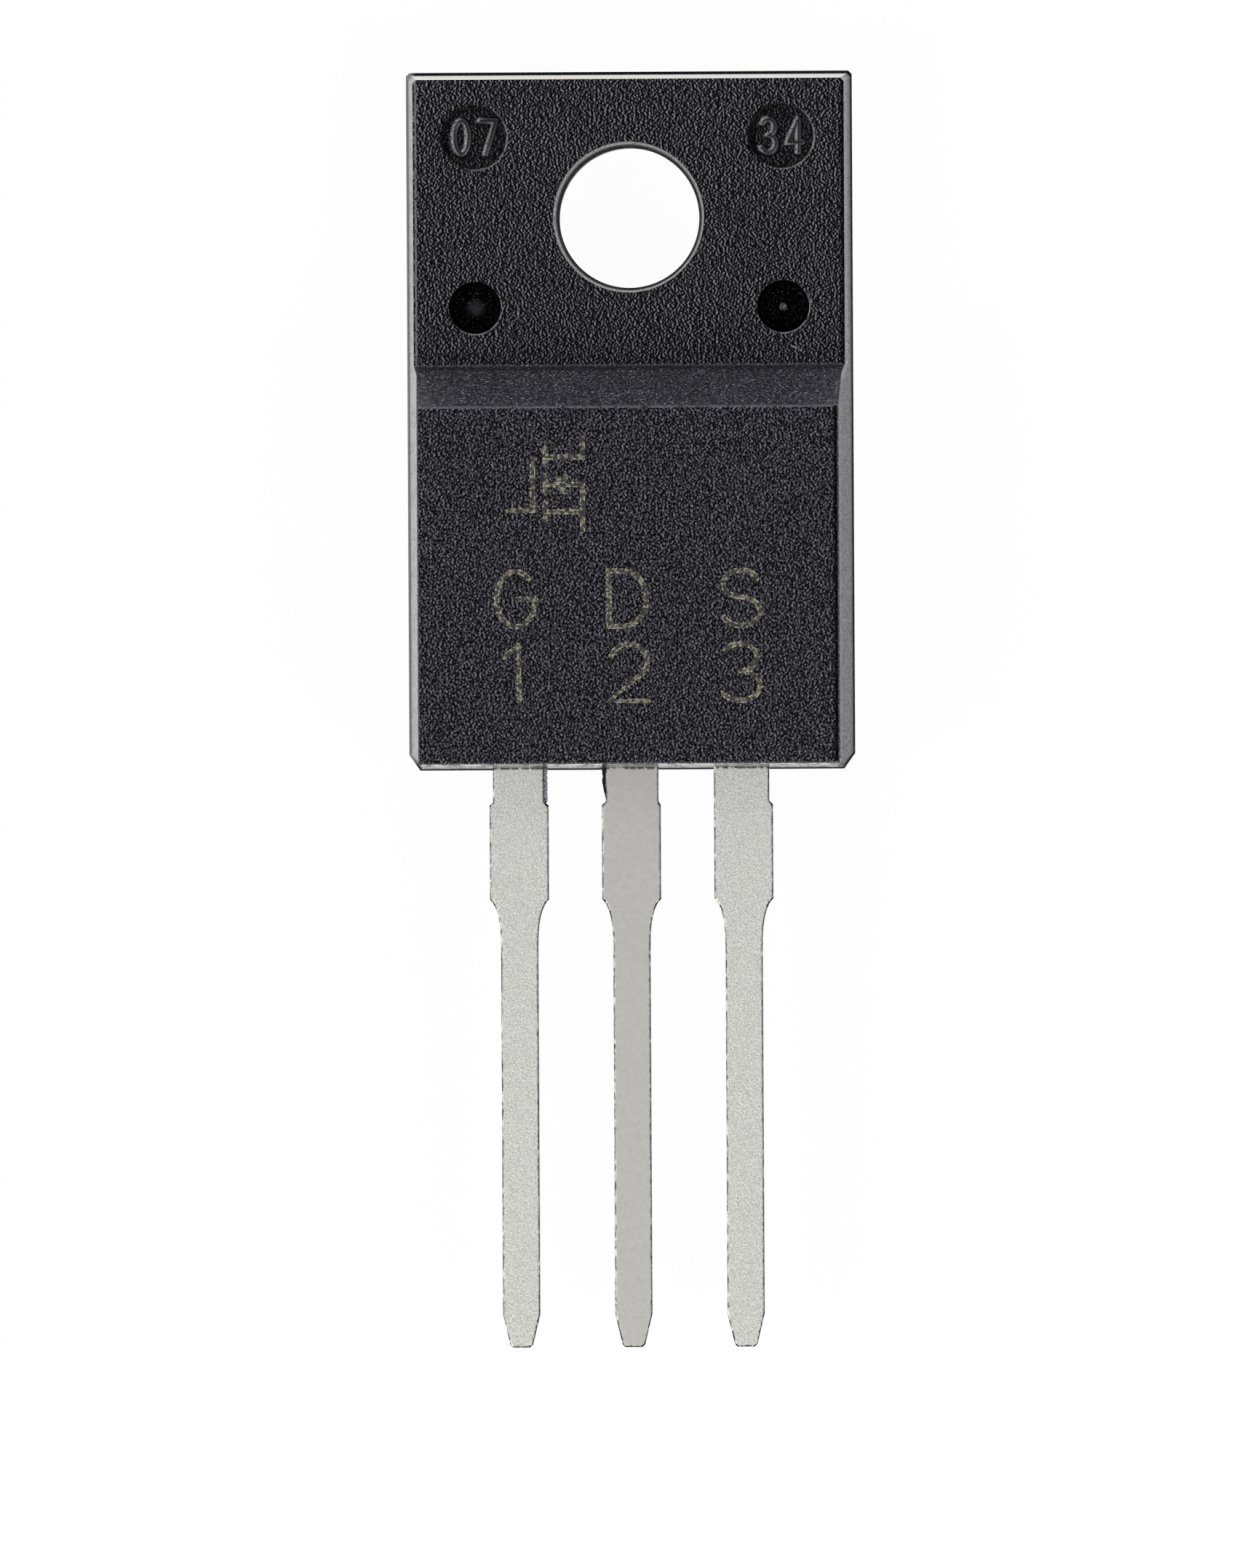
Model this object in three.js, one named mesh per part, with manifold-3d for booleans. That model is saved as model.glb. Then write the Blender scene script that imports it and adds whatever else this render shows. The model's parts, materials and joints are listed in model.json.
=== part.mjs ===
// Isolated three-lead power transistor, 10 by 16 mm moulded body on a 2.54 mm lead pitch.
// A drilled one-piece moulding holds a three-part lead frame, the soldered die and its bond wires.
// Millimetres. The part lies on its back: the heat-sink face is in the plane z = 0, the marked
// front faces +Z, the drilled tab points to +Y and the leads run out along -Y.
// The origin is the middle of the heat-sink face.
import * as THREE from "three";
import { mergeVertices } from "three/addons/utils/BufferGeometryUtils.js";
import Module from "manifold-3d";

const wasm = await Module();
wasm.setup();

// Moulded body, over its widest outline, which lies in the parting plane of the mould.
const bodyLength = 15.84;
const bodyWidth = 10.12;
const bodyHeight = 4.7;
const partingHeight = 1.64;
const shoulderHeight = 3.0;

// Drilled tab and the sloped step up to the thick part.
const tabLength = 6.67;
const tabThickness = 2.54;
const slopeRun = 0.98;

// Draft of the moulded walls, as the distance each wall has moved in from the parting outline.
// The front half of the mould is a little smaller than the back half, which leaves a ledge.
const sideLedge = 0.03;
const tabEndLedge = 0.065;
const leadEndLedge = 0.03;
const backDraft = 0.1;
const shoulderDraft = 0.25;
const frontDraft = 0.3;
const leadEndBackDraft = 0.06;
const leadEndShoulderDraft = 0.045;
const leadEndFrontDraft = 0.13;
const edgeBreak = 0.035;

// Corners of the plan outline.
const tabCornerCut = 0.08;
const leadCornerCutX = 0.25;
const leadCornerCutY = 0.35;
const backChamfer = 1.0;

// Mounting hole, drafted both ways from the parting plane.
const holeDiameter = 3.17;
const holeFrontDiameter = 3.42;
const holeBackDiameter = 3.24;
const holeSetback = 3.32;

// Shallow ejector-pin circles and the deep wells left by the pins that hold the frame down.
const ejectorDiameter = 1.47;
const ejectorDepth = 0.08;
const ejectorSpacing = 6.96;
const ejectorSetback = 1.5;
const wellDiameter = 1.19;
const wellFloorDiameter = 1.02;
const wellSpacing = 6.98;
const wellSetback = 5.36;
const wellSkin = 0.1;

// Leads, blanked from one strip. Lengths are measured from the end of the body.
const leadPitch = 2.54;
const leadThickness = 0.5;
const leadPlane = 2.76;
const leadLength = 13.07;
const leadWidth = 0.84;
const rootLength = 0.72;
const stubWidth = 1.33;
const stubStep = 0.08;
const stubEnd = 2.93;
const shoulderLength = 1.05;
const shoulderReach = 0.22;
const tipWidth = 0.51;
const tipTaper = 0.75;
const tipCorner = 0.06;

// How far the cut dam bar stands out from the root of each lead, on its -X and its +X side.
const gateTrim = { left: 0.08, right: 0.1 };
const drainTrim = { left: 0.09, right: 0.05 };
const sourceTrim = { left: 0, right: 0.08 };

// Die pad of the drain frame, buried in the body, with a notch round the mounting hole.
const padThickness = 1.3;
const backCover = 0.54;
const sideCover = 0.86;
const tabEndCover = 1.5;
const leadEndCover = 2.6;
const notchWall = 0.88;
const padCornerCut = 0.5;
const joggleAngle = THREE.MathUtils.degToRad(50);
const joggleRoot = 0.5;

// Bond posts at the inner ends of the outer leads.
const postWidth = 2.4;
const postLength = 1.3;
const postInnerCover = 2.4;
const postCornerCut = 0.3;

// Die, the solder under it and the wires on it.
const dieWidth = 3.6;
const dieLength = 4.4;
const dieThickness = 0.3;
const solderThickness = 0.06;
const solderMargin = 0.15;
const sourceWireDiameter = 0.38;
const sourceWireSpacing = 0.9;
const gateWireDiameter = 0.2;
const wireFoot = 0.7;
const wireRise = 0.75;
const wireCrown = 0.45;
const wireEdgeMargin = 0.75;

// Room left round each buried piece, and under each wire foot.
const mouldClearance = 0.02;
const wireSeat = 0.02;

// Facets, how far a cutter runs past what it cuts, and how close two corners are the same one.
const holeFacets = 96;
const pinFacets = 48;
const wireFacets = 6;
const wireSteps = 26;
const shoulderFacets = 8;
const overrun = 1;
const weldDistance = 1e-5;

// Places worked out from the sizes above.
const tabEndY = bodyLength / 2;
const leadEndY = -bodyLength / 2;
const stepY = tabEndY - tabLength;
const holeY = tabEndY - holeSetback;
const padTop = backCover + padThickness;
const padLowY = leadEndY + leadEndCover;
const padHighY = tabEndY - tabEndCover;
const notchRadius = holeDiameter / 2 + notchWall;
const leadBottom = leadPlane - leadThickness / 2;
const leadTop = leadPlane + leadThickness / 2;
const postHighY = leadEndY + postInnerCover;
const postMidY = postHighY - postLength / 2;
const dieMidY = (padLowY + holeY - notchRadius) / 2;
const dieBottom = padTop + solderThickness;
const dieTop = dieBottom + dieThickness;

// A closed geometry as a solid, ready to be joined or cut.
function solidOf(geometry) {
  const bare = geometry.clone();
  for (const name of ["normal", "uv"]) {
    if (bare.hasAttribute(name)) bare.deleteAttribute(name);
  }
  const merged = mergeVertices(bare, weldDistance);
  return new wasm.Manifold(new wasm.Mesh({
    numProp: 3,
    vertProperties: merged.getAttribute("position").array,
    triVerts: new Uint32Array(merged.getIndex().array),
  }));
}

// A solid back as flat-shaded geometry.
function geometryOf(solid) {
  const mesh = solid.getMesh();
  const geometry = new THREE.BufferGeometry();
  geometry.setAttribute("position", new THREE.BufferAttribute(mesh.vertProperties, 3));
  geometry.setIndex(new THREE.BufferAttribute(mesh.triVerts, 1));
  const facets = geometry.toNonIndexed();
  facets.computeVertexNormals();
  return facets;
}

// A box between two corners.
function block(low, high) {
  const size = new THREE.Vector3().subVectors(high, low);
  const middle = new THREE.Vector3().addVectors(low, high).multiplyScalar(0.5);
  const box = new THREE.BoxGeometry(size.x, size.y, size.z);
  box.translate(middle.x, middle.y, middle.z);
  return solidOf(box);
}

// A plan outline in X and Y, raised from one height to another.
function plate(outline, low, high) {
  const geometry = new THREE.ExtrudeGeometry(outline, {
    depth: high - low,
    bevelEnabled: false,
    curveSegments: shoulderFacets,
  });
  geometry.translate(0, 0, low);
  return solidOf(geometry);
}

// A side outline in Y and Z, carried across in X from left to right.
function bar(points, left, right) {
  const outline = new THREE.Shape(points.map(([y, z]) => new THREE.Vector2(y, z)));
  const geometry = new THREE.ExtrudeGeometry(outline, { depth: right - left, bevelEnabled: false });
  const turn = new THREE.Matrix4().makeBasis(
    new THREE.Vector3(0, 1, 0),
    new THREE.Vector3(0, 0, 1),
    new THREE.Vector3(1, 0, 0),
  );
  geometry.applyMatrix4(turn);
  geometry.translate(left, 0, 0);
  return solidOf(geometry);
}

// A profile of radius and height pairs, turned round an upright axis.
function turned(profile, facets, x, y) {
  const geometry = new THREE.LatheGeometry(profile.map(([r, z]) => new THREE.Vector2(r, z)), facets);
  geometry.rotateX(Math.PI / 2);
  geometry.translate(x, y, 0);
  return solidOf(geometry);
}

// A loft through level rings that all have the same number of corners, listed from the lowest up.
function loft(rings) {
  const corners = rings[0].length;
  const positions = rings.flat().flatMap((p) => [p.x, p.y, p.z]);
  const faces = [];
  for (let ring = 0; ring + 1 < rings.length; ring += 1) {
    for (let i = 0; i < corners; i += 1) {
      const next = (i + 1) % corners;
      const [a, b] = [ring * corners + i, ring * corners + next];
      const [c, d] = [a + corners, b + corners];
      faces.push(a, b, d, a, d, c);
    }
  }
  const last = (rings.length - 1) * corners;
  for (let i = 1; i + 1 < corners; i += 1) {
    faces.push(0, i + 1, i);
    faces.push(last, last + i, last + i + 1);
  }
  const geometry = new THREE.BufferGeometry();
  geometry.setAttribute("position", new THREE.Float32BufferAttribute(positions, 3));
  geometry.setIndex(faces);
  return solidOf(geometry);
}

// One level ring of the moulding: a rectangle with its four corners cut off.
function bodyRing(z, side, tabEnd, leadEnd, cutX, cutY) {
  const x = bodyWidth / 2 - side;
  const low = leadEndY + leadEnd;
  const high = tabEndY - tabEnd;
  const right = [
    [x - cutX, low],
    [x, low + cutY],
    [x, high - tabCornerCut],
    [x - tabCornerCut, high],
  ];
  const left = right.map(([px, py]) => [-px, py]).reverse();
  return [...right, ...left].map(([px, py]) => new THREE.Vector3(px, py, z));
}

// The drafted block that the rest of the moulding is cut from.
function draftedBlock() {
  const midCutX = (leadCornerCutX + edgeBreak) / 2;
  const midCutY = (leadCornerCutY + edgeBreak) / 2;
  const edgeHeight = bodyHeight - edgeBreak;
  const rimDraft = frontDraft + edgeBreak;
  const rimLeadEnd = leadEndFrontDraft + edgeBreak;
  return loft([
    bodyRing(0, backDraft, backDraft, leadEndBackDraft, leadCornerCutX, leadCornerCutY),
    bodyRing(partingHeight, 0, 0, 0, leadCornerCutX, leadCornerCutY),
    bodyRing(partingHeight, sideLedge, tabEndLedge, leadEndLedge, leadCornerCutX, leadCornerCutY),
    bodyRing(shoulderHeight, shoulderDraft, shoulderDraft, leadEndShoulderDraft, midCutX, midCutY),
    bodyRing(edgeHeight, frontDraft, frontDraft, leadEndFrontDraft, edgeBreak, edgeBreak),
    bodyRing(bodyHeight, rimDraft, rimDraft, rimLeadEnd, edgeBreak, edgeBreak),
  ]);
}

// What is missing above the tab: everything over its face and over the sloped step.
function stepCutter() {
  const run = slopeRun * (bodyHeight + overrun - tabThickness) / (bodyHeight - tabThickness);
  return bar([
    [tabEndY + overrun, tabThickness],
    [tabEndY + overrun, bodyHeight + overrun],
    [stepY - run, bodyHeight + overrun],
    [stepY, tabThickness],
  ], -bodyWidth, bodyWidth);
}

// The bevel along the back of the lead end, which lengthens the path from leads to heat sink.
function backBevelCutter() {
  return bar([
    [leadEndY - overrun, -overrun],
    [leadEndY + backChamfer + overrun, -overrun],
    [leadEndY - overrun, backChamfer + overrun],
  ], -bodyWidth, bodyWidth);
}

function mountingHoleCutter() {
  const flare = (holeFrontDiameter - holeDiameter) / 2 / (tabThickness - partingHeight);
  const frontRadius = holeDiameter / 2 + flare * (tabThickness + overrun - partingHeight);
  return turned([
    [0, -overrun],
    [holeBackDiameter / 2, -overrun],
    [holeBackDiameter / 2, 0],
    [holeDiameter / 2, partingHeight],
    [frontRadius, tabThickness + overrun],
    [0, tabThickness + overrun],
  ], holeFacets, 0, holeY);
}

// The ejector circles and the wells come in pairs, one on each side of the middle.
function pinCutters() {
  const wellFloor = padTop + wellSkin;
  const wellFlare = (wellDiameter - wellFloorDiameter) / 2 / (tabThickness - wellFloor);
  const wellMouth = wellDiameter / 2 + wellFlare * overrun;
  const cutters = [];
  for (const side of [-1, 1]) {
    cutters.push(turned([
      [0, tabThickness - ejectorDepth],
      [ejectorDiameter / 2, tabThickness - ejectorDepth],
      [ejectorDiameter / 2, tabThickness + overrun],
      [0, tabThickness + overrun],
    ], pinFacets, side * ejectorSpacing / 2, tabEndY - ejectorSetback));
    cutters.push(turned([
      [0, wellFloor],
      [wellFloorDiameter / 2, wellFloor],
      [wellMouth, tabThickness + overrun],
      [0, tabThickness + overrun],
    ], pinFacets, side * wellSpacing / 2, tabEndY - wellSetback));
  }
  return cutters;
}

// Where the two sides of a lead's root lie, grown by the room asked for.
function rootSides(x, trim, grow) {
  return [x - stubWidth / 2 + trim.left - grow, x + stubWidth / 2 - trim.right + grow];
}

// Plan outline of a lead from its inner end to its tip.
function leadPlan(x, trim, innerY) {
  const rootLowY = leadEndY - rootLength;
  const stubHighY = rootLowY - stubStep;
  const stubLowY = leadEndY - stubEnd;
  const tipY = leadEndY - leadLength;
  const taperY = tipY + tipTaper;
  const [rootLeft, rootRight] = rootSides(x, trim, 0);
  const [stub, narrow, tip] = [stubWidth / 2, leadWidth / 2, tipWidth / 2];
  const plan = new THREE.Shape();
  plan.moveTo(rootLeft, innerY);
  plan.lineTo(rootLeft, rootLowY);
  plan.lineTo(x - stub, stubHighY);
  plan.lineTo(x - stub, stubLowY);
  plan.quadraticCurveTo(x - narrow, stubLowY - shoulderReach, x - narrow, stubLowY - shoulderLength);
  plan.lineTo(x - narrow, taperY);
  plan.lineTo(x - tip, tipY + tipCorner);
  plan.lineTo(x - tip + tipCorner, tipY);
  plan.lineTo(x + tip - tipCorner, tipY);
  plan.lineTo(x + tip, tipY + tipCorner);
  plan.lineTo(x + narrow, taperY);
  plan.lineTo(x + narrow, stubLowY - shoulderLength);
  plan.quadraticCurveTo(x + narrow, stubLowY - shoulderReach, x + stub, stubLowY);
  plan.lineTo(x + stub, stubHighY);
  plan.lineTo(rootRight, rootLowY);
  plan.lineTo(rootRight, innerY);
  return plan;
}

// The slot that a lead's root leaves in the end of the moulding.
function leadSlot(x, trim, innerY) {
  const [left, right] = rootSides(x, trim, mouldClearance);
  return block(
    new THREE.Vector3(left, leadEndY - overrun, leadBottom - mouldClearance),
    new THREE.Vector3(right, innerY, leadTop + mouldClearance),
  );
}

// Bond post at the inner end of an outer lead, grown all round by the room asked for.
function post(x, grow) {
  const half = postWidth / 2 + grow;
  const high = postHighY + grow;
  const low = postHighY - postLength - grow;
  const plan = new THREE.Shape([
    new THREE.Vector2(x - half, low),
    new THREE.Vector2(x + half, low),
    new THREE.Vector2(x + half, high - postCornerCut),
    new THREE.Vector2(x + half - postCornerCut, high),
    new THREE.Vector2(x - half + postCornerCut, high),
    new THREE.Vector2(x - half, high - postCornerCut),
  ]);
  return plate(plan, leadBottom - grow, leadTop + grow);
}

function outerLead(x, trim) {
  return plate(leadPlan(x, trim, postMidY), leadBottom, leadTop).add(post(x, 0));
}

function outerLeadPocket(x, trim) {
  return leadSlot(x, trim, postMidY).add(post(x, mouldClearance));
}

// Die pad, with two arms that pass either side of the mounting hole.
function pad(grow) {
  const x = bodyWidth / 2 - sideCover + grow;
  const low = padLowY - grow;
  const high = padHighY + grow;
  const notch = notchRadius - grow;
  const plan = new THREE.Shape();
  plan.moveTo(-x, low);
  plan.lineTo(x, low);
  plan.lineTo(x, high - padCornerCut);
  plan.lineTo(x - padCornerCut, high);
  plan.lineTo(notch, high);
  plan.lineTo(notch, holeY);
  plan.absarc(0, holeY, notch, 0, Math.PI, true);
  plan.lineTo(-notch, high);
  plan.lineTo(padCornerCut - x, high);
  plan.lineTo(-x, high - padCornerCut);
  const geometry = new THREE.ExtrudeGeometry(plan, {
    depth: padThickness + 2 * grow,
    bevelEnabled: false,
    curveSegments: pinFacets / 2,
  });
  geometry.translate(0, 0, backCover - grow);
  return solidOf(geometry);
}

// Side outline of the drain lead: level in the pad, up the joggle, level again to the far end.
function jogglePoints(farY, grow) {
  const low = padTop - leadThickness;
  const run = (leadBottom - low) / Math.tan(joggleAngle);
  const lean = Math.tan(joggleAngle / 2);
  const startY = padLowY + joggleRoot;
  const firstY = padLowY - leadThickness * lean;
  const underside = [
    [startY, low, 0],
    [firstY, low, lean],
    [firstY - run, leadBottom, lean],
    [farY, leadBottom, 0],
  ];
  const thick = leadThickness + grow;
  const under = underside.map(([y, z, k]) => [y - grow * k, z - grow]);
  const over = underside.map(([y, z, k]) => [y + thick * k, z + thick]);
  return [...under, ...over.reverse()];
}

function drainFrame() {
  const farY = leadEndY - leadLength - overrun;
  const strip = bar(jogglePoints(farY, 0), -leadPitch, leadPitch);
  const blank = plate(leadPlan(0, drainTrim, padLowY + joggleRoot), backCover, bodyHeight);
  return pad(0).add(strip.intersect(blank));
}

function drainPocket() {
  const farY = leadEndY - overrun;
  const sides = rootSides(0, drainTrim, mouldClearance);
  return pad(mouldClearance).add(bar(jogglePoints(farY, mouldClearance), ...sides));
}

// A slab centred on the die's place, between two heights.
function dieSlab(margin, low, high) {
  const x = dieWidth / 2 + margin;
  const y = dieLength / 2 + margin;
  return block(new THREE.Vector3(-x, dieMidY - y, low), new THREE.Vector3(x, dieMidY + y, high));
}

// A wire bonded flat at both ends, with one arch between its feet.
function wire(fromX, fromY, toX, diameter, grow) {
  const seat = diameter / 2 + wireSeat;
  const start = new THREE.Vector3(fromX, fromY, dieTop + seat);
  const end = new THREE.Vector3(toX, postMidY, leadTop + seat);
  const along = new THREE.Vector3(end.x - start.x, end.y - start.y, 0).normalize();
  const foot = along.clone().multiplyScalar(wireFoot / 2);
  const tail = along.clone().multiplyScalar(wireFoot / 2 + grow);
  const lift = start.clone().add(foot);
  const land = end.clone().sub(foot);
  const crown = lift.clone().lerp(land, wireCrown);
  crown.z = end.z + wireRise;
  const reach = (a, b) => along.clone().multiplyScalar(Math.hypot(b.x - a.x, b.y - a.y) / 2);
  const rise = reach(lift, crown);
  const fall = reach(crown, land);
  const path = new THREE.CurvePath();
  path.add(new THREE.LineCurve3(start.clone().sub(tail), lift));
  path.add(new THREE.CubicBezierCurve3(lift, lift.clone().add(rise), crown.clone().sub(rise), crown));
  path.add(new THREE.CubicBezierCurve3(crown, crown.clone().add(fall), land.clone().sub(fall), land));
  path.add(new THREE.LineCurve3(land, end.clone().add(tail)));
  const section = new THREE.Shape();
  section.absarc(0, 0, diameter / 2 + grow, 0, 2 * Math.PI);
  return solidOf(new THREE.ExtrudeGeometry(section, {
    steps: wireSteps,
    extrudePath: path,
    curveSegments: wireFacets,
    bevelEnabled: false,
  }));
}

// Every wire by name: where it leaves the die, the X where it lands, and its diameter.
const gatePadX = wireEdgeMargin - dieWidth / 2;
const gatePadY = dieMidY - dieLength / 2 + wireEdgeMargin;
const sourcePadX = dieWidth / 2 - wireEdgeMargin - sourceWireSpacing / 2;
const halfSpacing = sourceWireSpacing / 2;
const wires = {
  gate_bond_wire: [gatePadX, gatePadY, -leadPitch, gateWireDiameter],
  source_bond_wire_1: [sourcePadX - halfSpacing, dieMidY, leadPitch - halfSpacing, sourceWireDiameter],
  source_bond_wire_2: [sourcePadX + halfSpacing, dieMidY, leadPitch + halfSpacing, sourceWireDiameter],
};

// The moulding, with the room that each buried piece takes up in it.
function mouldedBody() {
  const cutters = [
    stepCutter(),
    backBevelCutter(),
    mountingHoleCutter(),
    ...pinCutters(),
    drainPocket(),
    outerLeadPocket(-leadPitch, gateTrim),
    outerLeadPocket(leadPitch, sourceTrim),
    dieSlab(solderMargin + mouldClearance, padTop, dieBottom + mouldClearance),
    dieSlab(mouldClearance, dieBottom, dieTop + mouldClearance),
    ...Object.values(wires).map((place) => wire(...place, mouldClearance)),
  ];
  return cutters.reduce((body, cutter) => body.subtract(cutter), draftedBlock());
}

const finishes = {
  epoxy: new THREE.MeshStandardMaterial({ color: 0x38373b, roughness: 0.75, metalness: 0 }),
  tinnedCopper: new THREE.MeshStandardMaterial({ color: 0xcdcfc9, roughness: 0.4, metalness: 0.9 }),
  solder: new THREE.MeshStandardMaterial({ color: 0x9b9c9e, roughness: 0.5, metalness: 0.8 }),
  silicon: new THREE.MeshStandardMaterial({ color: 0x74777f, roughness: 0.25, metalness: 0.6 }),
  aluminium: new THREE.MeshStandardMaterial({ color: 0xd9dadb, roughness: 0.35, metalness: 0.9 }),
};

const transistor = new THREE.Group();

function place(name, solid, finish) {
  const mesh = new THREE.Mesh(geometryOf(solid), finish);
  mesh.name = name;
  transistor.add(mesh);
}

place("moulded_body", mouldedBody(), finishes.epoxy);
place("drain_frame", drainFrame(), finishes.tinnedCopper);
place("gate_lead", outerLead(-leadPitch, gateTrim), finishes.tinnedCopper);
place("source_lead", outerLead(leadPitch, sourceTrim), finishes.tinnedCopper);
place("die_attach", dieSlab(solderMargin, padTop, dieBottom), finishes.solder);
place("silicon_die", dieSlab(0, dieBottom, dieTop), finishes.silicon);
for (const [name, ends] of Object.entries(wires)) {
  place(name, wire(...ends, 0), finishes.aluminium);
}

export default transistor;
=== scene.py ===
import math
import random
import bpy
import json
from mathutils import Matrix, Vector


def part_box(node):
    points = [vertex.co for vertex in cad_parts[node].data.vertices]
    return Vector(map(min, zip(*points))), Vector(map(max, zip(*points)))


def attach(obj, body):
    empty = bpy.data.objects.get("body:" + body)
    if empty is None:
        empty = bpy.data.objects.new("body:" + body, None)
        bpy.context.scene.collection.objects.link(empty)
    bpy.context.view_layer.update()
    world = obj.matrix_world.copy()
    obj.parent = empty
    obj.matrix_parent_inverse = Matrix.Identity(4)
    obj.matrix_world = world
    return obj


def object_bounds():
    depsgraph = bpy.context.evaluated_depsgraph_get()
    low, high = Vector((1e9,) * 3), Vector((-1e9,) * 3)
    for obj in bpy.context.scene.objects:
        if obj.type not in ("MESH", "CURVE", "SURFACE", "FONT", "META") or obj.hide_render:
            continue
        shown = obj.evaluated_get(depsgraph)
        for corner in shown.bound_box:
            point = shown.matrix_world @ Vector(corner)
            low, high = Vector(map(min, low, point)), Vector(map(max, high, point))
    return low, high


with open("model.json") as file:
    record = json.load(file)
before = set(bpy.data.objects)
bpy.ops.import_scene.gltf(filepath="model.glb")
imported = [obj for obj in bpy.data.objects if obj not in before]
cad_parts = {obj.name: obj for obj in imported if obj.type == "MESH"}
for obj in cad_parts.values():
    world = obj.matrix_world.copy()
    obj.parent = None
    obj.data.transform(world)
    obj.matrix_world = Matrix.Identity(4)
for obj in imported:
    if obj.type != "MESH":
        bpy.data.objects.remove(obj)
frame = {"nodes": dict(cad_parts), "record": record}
cad_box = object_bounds()

# A three-lead power transistor, lying on its back on a pale floor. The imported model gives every
# solid. This script gives them their finishes and adds what is too fine for the solids: the marks
# on the front, the raised cavity numbers, the ring in a pin well and the resin left beside leads.
# Metres. +Z points out of the marked front, +Y to the drilled tab, and the leads run along -Y.
from types import SimpleNamespace

import bpy
from mathutils import Matrix, Vector

MM = 0.001


def grey(value, tint=(1.0, 1.0, 1.0)):
    """A colour for a shader socket: an even grey, turned toward a tint."""
    return (value * tint[0], value * tint[1], value * tint[2], 1.0)


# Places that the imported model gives.
LEVEL_SLACK = 0.01 * MM
mounts = {mount["name"]: Vector(mount["pos_m"]) for mount in frame["record"]["mounts"]}
body_low, body_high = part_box("moulded_body")
lead_low, lead_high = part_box("gate_lead")
front_z = body_high.z
tab_z = mounts["tab_face"].z
body_points = [vertex.co for vertex in frame["nodes"]["moulded_body"].data.vertices]
front_edge_x = max(point.x for point in body_points if point.z > front_z - LEVEL_SLACK)
tab_edge_x = max(point.x for point in body_points if abs(point.z - tab_z) < LEVEL_SLACK)
tab_end_y = body_high.y
lead_end_y = body_low.y
lead_pitch = mounts["source_lead_tip"].x

# Pin circles on the tab, as moulded.
EJECTOR_SPACING = 6.96 * MM
EJECTOR_SETBACK = 1.5 * MM
EJECTOR_DEPTH = 0.08 * MM
EJECTOR_RADIUS = 0.735 * MM
WELL_SPACING = 6.98 * MM
WELL_SETBACK = 5.36 * MM
WELL_FLOOR_Z = 1.94 * MM
WELL_RADIUS = 0.595 * MM

# The step on the front, and the hole with its narrowest height.
TAB_LENGTH = 6.67 * MM
SLOPE_RUN = 0.98 * MM
HOLE_SETBACK = 3.32 * MM
WAIST_Z = 1.64 * MM
slope_foot_y = tab_end_y - TAB_LENGTH
slope_top_y = slope_foot_y - SLOPE_RUN
hole_centre = (0, tab_end_y - HOLE_SETBACK, WAIST_Z)

# Tints, from neutral grey.
COOL = (1.0, 0.985, 1.17)
DEEP = (1.0, 0.95, 1.5)
VIOLET = (1.1, 0.5, 2.0)
WARM = (1.0, 1.0, 0.95)
WARMER = (1.0, 0.98, 0.93)

# Faces of the moulding, told apart by how far their normals point along an axis. Each pair gives
# where a share is 0 and where it is 1. So do the pairs below, unless their comment says otherwise.
WALL_RISE = (0.35, 0.25)
SLOPE_RISE_LOW = (0.25, 0.35)
SLOPE_RISE_HIGH = (0.6, 0.5)
SQUARE_ON = (0.8, 0.95)
TURNED_TO = (0.5, 0.8)
TURNED_AWAY = (-0.5, -0.8)

# Where the parts of the moulding are, as such pairs: heights, and distances from a centre in
# plan for a well, or from the middle of the hole's waist.
above_ledge_z = (tab_z - 0.3 * MM, tab_z - 0.2 * MM)
on_tab_z = (front_z - 0.2 * MM, tab_z + 0.2 * MM)
in_well_z = (tab_z - 0.01 * MM, tab_z - 0.03 * MM)
in_ejector_z = (tab_z - 0.03 * MM, tab_z - 0.05 * MM)
IN_WELL = (WELL_RADIUS + 0.02 * MM, WELL_RADIUS + 0.01 * MM)
ON_WELL_FLOOR = (WELL_RADIUS, 0.95 * WELL_RADIUS)
IN_HOLE = (2.8 * MM, 2.6 * MM)

# Noise on the compound, and the pairs that break its painted highlight lines and the scuff up.
FINE_SIZE = 0.05 * MM
PATCH_SIZE = 0.15 * MM
BROKEN_LINE = (0.3, 0.5)
BROKEN_RIM = (0.35, 0.5)

# Compound with a spark texture: the colours of its ridges, bright with a painted highlight on the
# flanks that face -X as if lit from there, and of its near-black rest, which also holds painted
# shade; the size of its waves, and how far apart a ridge's flanks are. The flank pairs hold a value
# for the front and one for the tab. TONE_POWER keeps most of a texture dark and its crests bright.
FRONT_LIT_FLANK = grey(0.215, COOL)
TAB_LIT_FLANK = grey(0.235, COOL)
EJECTOR_LIT_FLANK = grey(0.06, COOL)
SPARK_BLACK = grey(0.001, DEEP)
GRAIN_SIZE = 0.05 * MM
GRAIN_SHIFT = 0.025 * MM
GRAIN_DETAIL = 0.5
GRAIN_DRAWN = (1, 1, 0.3)
FLANK_SHARE = (0.4, 1.0)
FLANK_DARK = (-0.14, -0.08)
FLANK_BRIGHT = (0.3, 0.28)
TONE_POWER = 2.2

# Compound on the slope, finer and flatter, with bright flecks and a shade above its foot.
SLOPE_GRIT = grey(0.45, COOL)
SLOPE_PIT = grey(0.009, DEEP)
SLOPE_FLECK = grey(0.6, COOL)
SLOPE_SHADE = grey(0.003)
GRIT_SIZE = 0.06 * MM
GRIT_CREST = (0.4, 0.8)
FLECK_SIZE = 0.045 * MM
FLECK_CREST = (0.72, 0.8)
SHADE_REACH = 0.07 * MM
SHADE_SHARE = 0.6
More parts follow.
